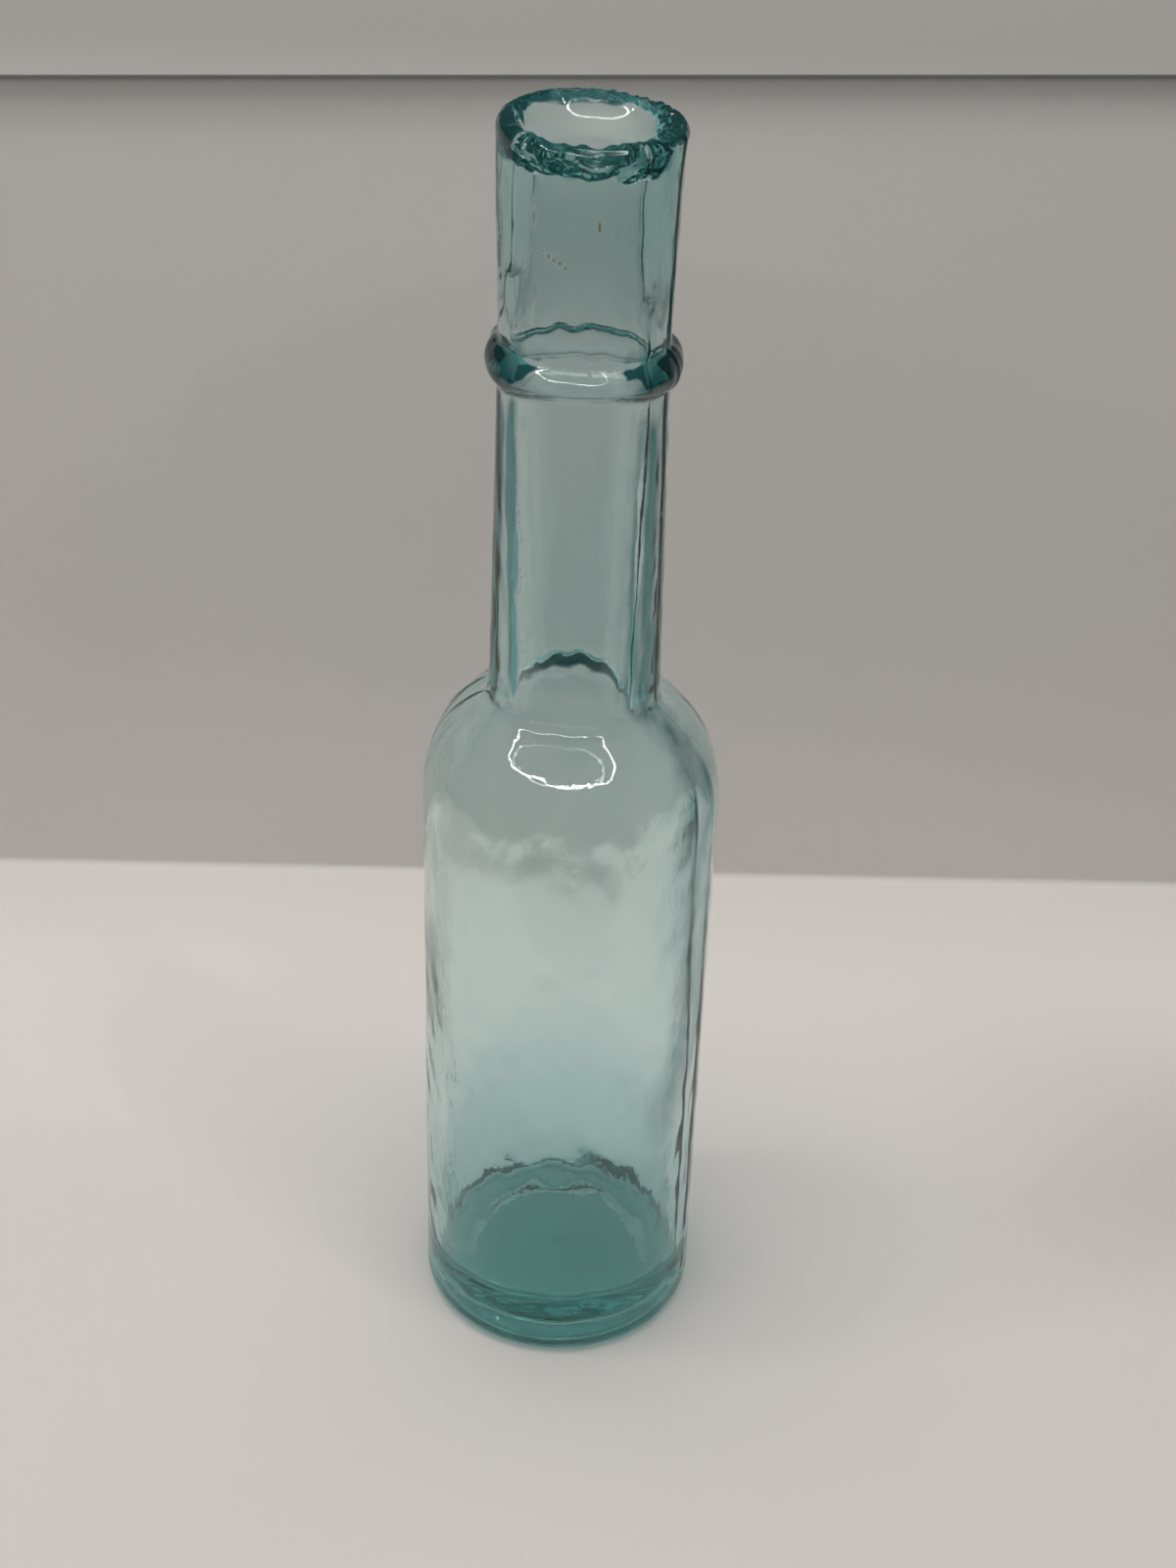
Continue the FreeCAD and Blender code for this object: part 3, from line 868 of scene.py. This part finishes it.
def add_camera(stage):
    """A camera that looks down at its target, turned a little about its line of sight."""
    pitch, roll = stage.camera_pitch, stage.camera_roll
    forward = Vector((0.0, math.cos(pitch), -math.sin(pitch)))
    level_right = Vector((1.0, 0.0, 0.0))
    level_up = level_right.cross(forward)
    right = level_right * math.cos(roll) + level_up * math.sin(roll)
    up = level_up * math.cos(roll) - level_right * math.sin(roll)
    lens = bpy.data.cameras.new("camera")
    lens.lens = stage.lens
    lens.clip_start = 0.01
    camera = bpy.data.objects.new("camera", lens)
    turn = Matrix((right, up, -forward)).transposed().to_4x4()
    place = Vector(stage.camera_target) - forward * stage.camera_distance
    camera.matrix_world = Matrix.Translation(place) @ turn
    bpy.context.scene.collection.objects.link(camera)
    bpy.context.scene.camera = camera


class BOTTLE_OT_stage(Operator):
    """Make the floor, backdrop, lamps and camera"""

    bl_idname = "bottle.stage"
    bl_label = "Stage"

    def execute(self, context):
        scene = context.scene
        stage = scene.bottle_stage
        place_piece("paper_floor", swept_paper(stage), paper_material(stage))
        place_piece("ring_lamp", ring_lamp(stage), lamp_material(stage.ring_strength))
        overhead = add_area_lamp(
            "overhead_lamp", stage.lamp_place, stage.lamp_target, stage.lamp_size, stage.lamp_power)
        overhead.visible_glossy = False
        overhead.visible_transmission = False
        world = bpy.data.worlds.new("room")
        world.use_nodes = True
        background = world.node_tree.nodes["Background"]
        background.inputs["Color"].default_value = (*stage.room, 1.0)
        background.inputs["Strength"].default_value = stage.sky
        scene.world = world
        scene.view_settings.view_transform = "Standard"
        add_camera(stage)
        return {"FINISHED"}


class BOTTLE_PT_panel(Panel):
    """Buttons and values of the bottle"""

    bl_idname = "BOTTLE_PT_panel"
    bl_label = "Bottle"
    bl_space_type = "VIEW_3D"
    bl_region_type = "UI"
    bl_category = "Bottle"

    def draw(self, context):
        for operator in (BOTTLE_OT_glass, BOTTLE_OT_stage):
            self.layout.operator(operator.bl_idname)
        for name in GROUPS:
            group = getattr(context.scene, name)
            for key in group.bl_rna.properties.keys():
                if key not in ("rna_type", "name"):
                    self.layout.prop(group, key)


GROUPS = {"bottle_shape": BottleShape, "bottle_look": BottleLook, "bottle_stage": BottleStage}
CLASSES = (BottleShape, BottleLook, BottleStage, BOTTLE_OT_glass, BOTTLE_OT_stage, BOTTLE_PT_panel)


def register():
    for item in CLASSES:
        bpy.utils.register_class(item)
    for name, group in GROUPS.items():
        setattr(bpy.types.Scene, name, PointerProperty(type=group))


def unregister():
    for name in GROUPS:
        delattr(bpy.types.Scene, name)
    for item in reversed(CLASSES):
        bpy.utils.unregister_class(item)


def main():
    register()
    bpy.ops.bottle.glass()
    bpy.ops.bottle.stage()


if __name__ == "__main__":
    main()
